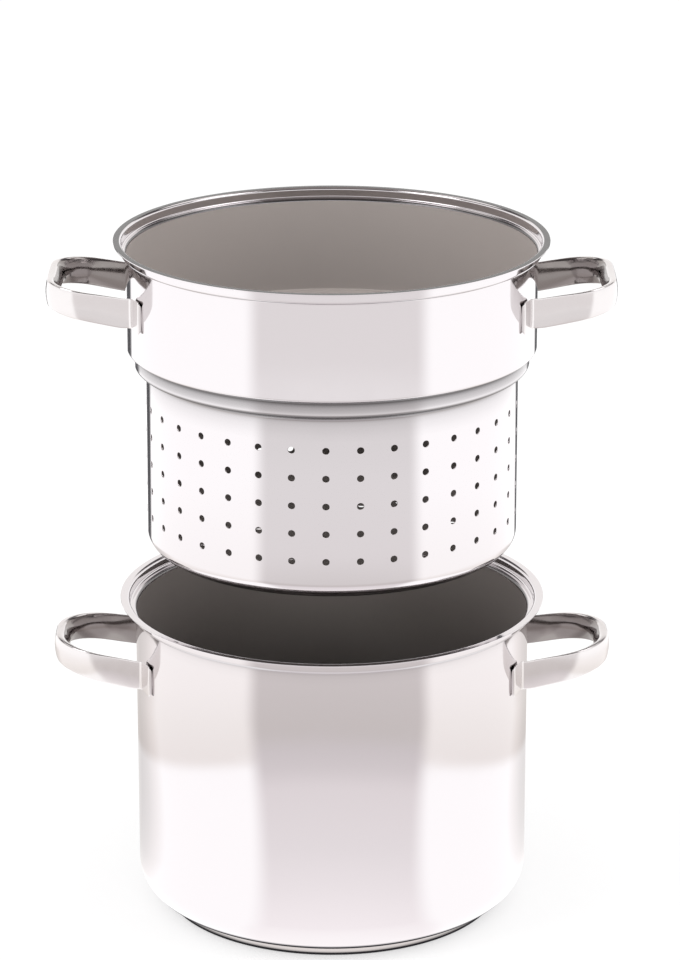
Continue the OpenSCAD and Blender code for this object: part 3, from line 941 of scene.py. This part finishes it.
class PASTA_OT_stage(bpy.types.Operator):
    """Adds the pale floor, the soft light and the camera"""
    bl_idname = "pasta.stage"
    bl_label = "Stage"

    def mirrored_floor(self, tree):
        """The floor's tones as steel mirrors it.

        Nearest is a white table top. Beyond it stand white boards on both sides, with a greyer strip
        between them in front and two dark cards behind.
        """
        where = add_node(tree, "ShaderNodeTexCoord").outputs["Object"]
        parts = add_node(tree, "ShaderNodeSeparateXYZ", {"Vector": where})
        # Spread is the angle from straight ahead, either way, with the whole set turned by 4 degrees.
        ahead = add_node(tree, "ShaderNodeMath", {0: parts.outputs["Y"], 1: -1.0}, operation="MULTIPLY")
        side_a = add_node(tree, "ShaderNodeMath", {0: parts.outputs["X"], 1: ahead}, operation="ARCTAN2")
        turned = add_node(tree, "ShaderNodeMath", {0: side_a, 1: math.radians(4)}, operation="SUBTRACT")
        spread = add_node(tree, "ShaderNodeMath", {0: turned}, operation="ABSOLUTE")
        # Away is the distance in metres from a point 80 mm in front of the pot's axis.
        shifted = add_node(tree, "ShaderNodeVectorMath", {0: where, 1: (0, 80 * MM, 0)}, operation="ADD")
        away = add_node(tree, "ShaderNodeVectorMath", {0: shifted}, operation="LENGTH").outputs["Value"]
        share = add_node(tree, "ShaderNodeMapRange", {"Value": away, "From Max": 1.6})
        front = add_node(tree, "ShaderNodeValToRGB", {"Fac": share}, (
            (0.03, "FBF9F9"), (0.063, "F3EFF0"), (0.0986, "EAE6E7"), (0.137, "E2DEDF"), (0.2, "DDD8D9"),
            (0.2217, "D0CBCC"), (0.241, "CBC6C7"), (0.262, "C4BFBD"), (0.33, "CAC5C4"), (0.43, "CDC9C8"),
            (0.479, "DBD8D8"), (0.60, "DCDADA"), (0.68, "D7D5D5"), (0.77, "E7E5E5"), (0.83, "DDDADA"),
            (0.95, "DDDADA")))
        sides = add_node(tree, "ShaderNodeValToRGB", {"Fac": share}, (
            (0.0, "FFFFFF"), (0.222, "FFFFFF"), (0.235, "EAE6E3"), (0.28, "EFECE9"), (0.32, "F4F1EF"),
            (0.60, "FFFFFF")))
        strip_a = add_node(tree, "ShaderNodeMapRange", {"Value": away, "From Min": 0.1, "From Max": 0.45,
                           "To Min": math.radians(27), "To Max": math.radians(41)})
        beyond = add_node(tree, "ShaderNodeMath", {0: spread, 1: strip_a}, operation="SUBTRACT")
        board = add_node(tree, "ShaderNodeMapRange", {"Value": beyond, "From Max": math.radians(11)},
                         interpolation_type="SMOOTHSTEP")
        boarded = add_node(tree, "ShaderNodeMix", {"Factor": board, 6: front, 7: sides},
                           data_type="RGBA").outputs[2]
        # Behind the object the table top turns a little greyer, from its middle outwards.
        farther = add_node(tree, "ShaderNodeMapRange", {"Value": away, "From Min": 0.62,
                           "From Max": 0.72})
        closer = add_node(tree, "ShaderNodeMath", {0: 1.0, 1: farther}, operation="SUBTRACT")
        later = add_node(tree, "ShaderNodeMapRange", {"Value": away, "From Min": 0.2, "From Max": 0.45,
                         "To Max": math.radians(25)})
        past = add_node(tree, "ShaderNodeMath", {0: spread, 1: later}, operation="SUBTRACT")
        behind = add_node(tree, "ShaderNodeMapRange", {"Value": past, "From Min": math.radians(90),
                          "From Max": math.radians(120)})
        greyer = add_node(tree, "ShaderNodeValToRGB", {"Fac": behind}, (
            (0.0, "FFFFFF"), (0.25, "F2F0EF"), (0.6, "DEDCDB"), (1.0, "CECCCB")))
        greyed = add_node(tree, "ShaderNodeMix", {"Factor": closer, 6: boarded, 7: greyer},
                          data_type="RGBA", blend_type="MULTIPLY").outputs[2]
        # The cards stand far behind, where only the silhouettes of the upper vessel mirror them.
        round_share = add_node(tree, "ShaderNodeMapRange", {"Value": spread, "From Max": math.pi})
        cards = add_node(tree, "ShaderNodeValToRGB", {"Fac": round_share}, (
            (0.822, "000000"), (0.844, "FFFFFF"), (0.896, "FFFFFF"), (0.916, "000000")))
        standing = add_node(tree, "ShaderNodeMath", {0: cards, 1: farther}, operation="MULTIPLY")
        carded = add_node(tree, "ShaderNodeMix", {"Factor": standing, 6: greyed, 7: linear("505052")},
                          data_type="RGBA").outputs[2]
        # Under the pot the floor lies in the dark.
        from_axis = add_node(tree, "ShaderNodeVectorMath", {0: where}, operation="LENGTH")
        lit = add_node(tree, "ShaderNodeMapRange", {"Value": from_axis.outputs["Value"],
                       "From Min": 0.106, "From Max": 0.112}, interpolation_type="SMOOTHSTEP")
        return add_node(tree, "ShaderNodeMix", {"Factor": lit, 6: linear("303034"), 7: carded},
                        data_type="RGBA").outputs[2]

    def floor_material(self):
        # Pale studio floor. The camera sees it white with the object's shadow, and steel sees it as a set.
        material, tree = new_material("studio_floor")
        rays = add_node(tree, "ShaderNodeLightPath")
        mirrored = add_node(tree, "ShaderNodeEmission", {"Color": self.mirrored_floor(tree),
                            "Strength": 1.42})
        matt = add_node(tree, "ShaderNodeBsdfDiffuse", {"Color": linear("F2F2F2")})
        lift = add_node(tree, "ShaderNodeEmission", {"Color": (1, 1, 1, 1), "Strength": 1.12})
        pale = add_node(tree, "ShaderNodeMixShader", {0: 0.5, 1: matt, 2: lift})
        camera_or_not = add_node(tree, "ShaderNodeMixShader", {0: rays.outputs["Is Camera Ray"],
                                 1: matt, 2: pale})
        all_rays = add_node(tree, "ShaderNodeMixShader", {0: rays.outputs["Is Glossy Ray"],
                            1: camera_or_not, 2: mirrored})
        add_node(tree, "ShaderNodeOutputMaterial", {"Surface": all_rays})
        return material

    def world(self, scene):
        # Steel sees a white wall low down, a dark gap over it and a dim ceiling, with a ring of soft light
        # in the gap behind the object.
        world = bpy.data.worlds.new("studio")
        scene.world = world
        world.use_nodes = True
        tree = world.node_tree
        tree.nodes.clear()
        rays = add_node(tree, "ShaderNodeLightPath")
        where = add_node(tree, "ShaderNodeTexCoord").outputs["Generated"]
        parts = add_node(tree, "ShaderNodeSeparateXYZ", {"Vector": where})
        ahead = add_node(tree, "ShaderNodeValToRGB", {"Fac": parts.outputs["Z"]}, (
            (0.0, "FFFFFF"), (0.36, "F4F3F2"), (0.42, "5A5658"), (0.80, "5A5658"), (0.88, "8A8482")))
        behind = add_node(tree, "ShaderNodeValToRGB", {"Fac": parts.outputs["Z"]}, (
            (0.0, "FFFFFF"), (0.31, "F0EEEC"), (0.41, "F4F2F0"), (0.45, "5A5658"), (0.60, "4A4648"),
            (0.66, "F6F4F2"), (0.84, "EFECEA"), (0.90, "6A6462"), (1.0, "5A5452")))
        side = add_node(tree, "ShaderNodeMapRange", {"Value": parts.outputs["Y"], "From Min": -0.1,
                        "From Max": 0.3})
        around = add_node(tree, "ShaderNodeMix", {"Factor": side, 6: ahead, 7: behind},
                          data_type="RGBA").outputs[2]
        room = add_node(tree, "ShaderNodeBackground", {"Color": around, "Strength": 1.3})
        plain = add_node(tree, "ShaderNodeBackground", {"Color": (1, 1, 1, 1), "Strength": 1.0})
        mix = add_node(tree, "ShaderNodeMixShader", {0: rays.outputs["Is Glossy Ray"], 1: plain, 2: room})
        add_node(tree, "ShaderNodeOutputWorld", {"Surface": mix})

    def execute(self, context):
        s, scene = settings("stage"), context.scene
        floor = edit_new(bpy.ops.mesh.primitive_circle_add, "studio_floor", vertices=96,
                         radius=s.floor_r, fill_type="NGON")
        bpy.ops.object.mode_set(mode="OBJECT")
        floor.data.materials.append(self.floor_material())
        self.world(scene)
        bpy.ops.object.select_all(action="DESELECT")
        for name, x, y, z, size, power in (("softbox_left", -2.2, -1.0, 2.2, 1.6, 22.0),
                                           ("softbox_right", 2.2, -0.6, 2.4, 1.6, 18.0)):
            bpy.ops.object.light_add(type="AREA", location=(x, y, z))
            lamp = context.object
            lamp.name = lamp.data.name = name
            lamp.data.shape = "SQUARE"
            lamp.data.size = size
            lamp.data.energy = power
            lamp.rotation_euler = (math.atan2(math.hypot(x, y), z - 0.2), 0, math.atan2(x, -y))
        bpy.ops.object.camera_add(location=(s.camera_side, -s.camera_back, s.camera_up),
                                  rotation=(math.pi / 2 - s.camera_pitch, 0, 0))
        camera = context.object
        camera.data.sensor_width = 36.0
        camera.data.lens = s.lens
        camera.data.clip_end = 100.0
        scene.camera = camera
        scene.view_settings.view_transform = "Standard"
        return {"FINISHED"}


class PASTA_PT_panel(bpy.types.Panel):
    """Lists the pieces and their sizes"""
    bl_idname = "PASTA_PT_panel"
    bl_label = "Pasta pot"
    bl_space_type = "VIEW_3D"
    bl_region_type = "UI"
    bl_category = "Pasta pot"

    def draw(self, context):
        for operator in OPERATORS:
            self.layout.operator(operator.bl_idname)
        for name, group in GROUPS.items():
            box = self.layout.box()
            box.label(text=name.title())
            for key in group.__annotations__:
                box.prop(settings(name), key)


OPERATORS = (PASTA_OT_pot_shell, PASTA_OT_base_ring, PASTA_OT_insert_shell, PASTA_OT_handles,
             PASTA_OT_stage)
CLASSES = (*GROUPS.values(), *OPERATORS, PASTA_PT_panel)


def register():
    for cls in CLASSES:
        bpy.utils.register_class(cls)
    for name, group in GROUPS.items():
        setattr(bpy.types.Scene, "pasta_" + name, bpy.props.PointerProperty(type=group))


def unregister():
    for name in GROUPS:
        delattr(bpy.types.Scene, "pasta_" + name)
    for cls in reversed(CLASSES):
        bpy.utils.unregister_class(cls)


def main():
    register()
    bpy.ops.pasta.pot_shell()
    bpy.ops.pasta.base_ring()
    bpy.ops.pasta.insert_shell()
    bpy.ops.pasta.handles()
    bpy.ops.pasta.stage()


if __name__ == "__main__":
    main()
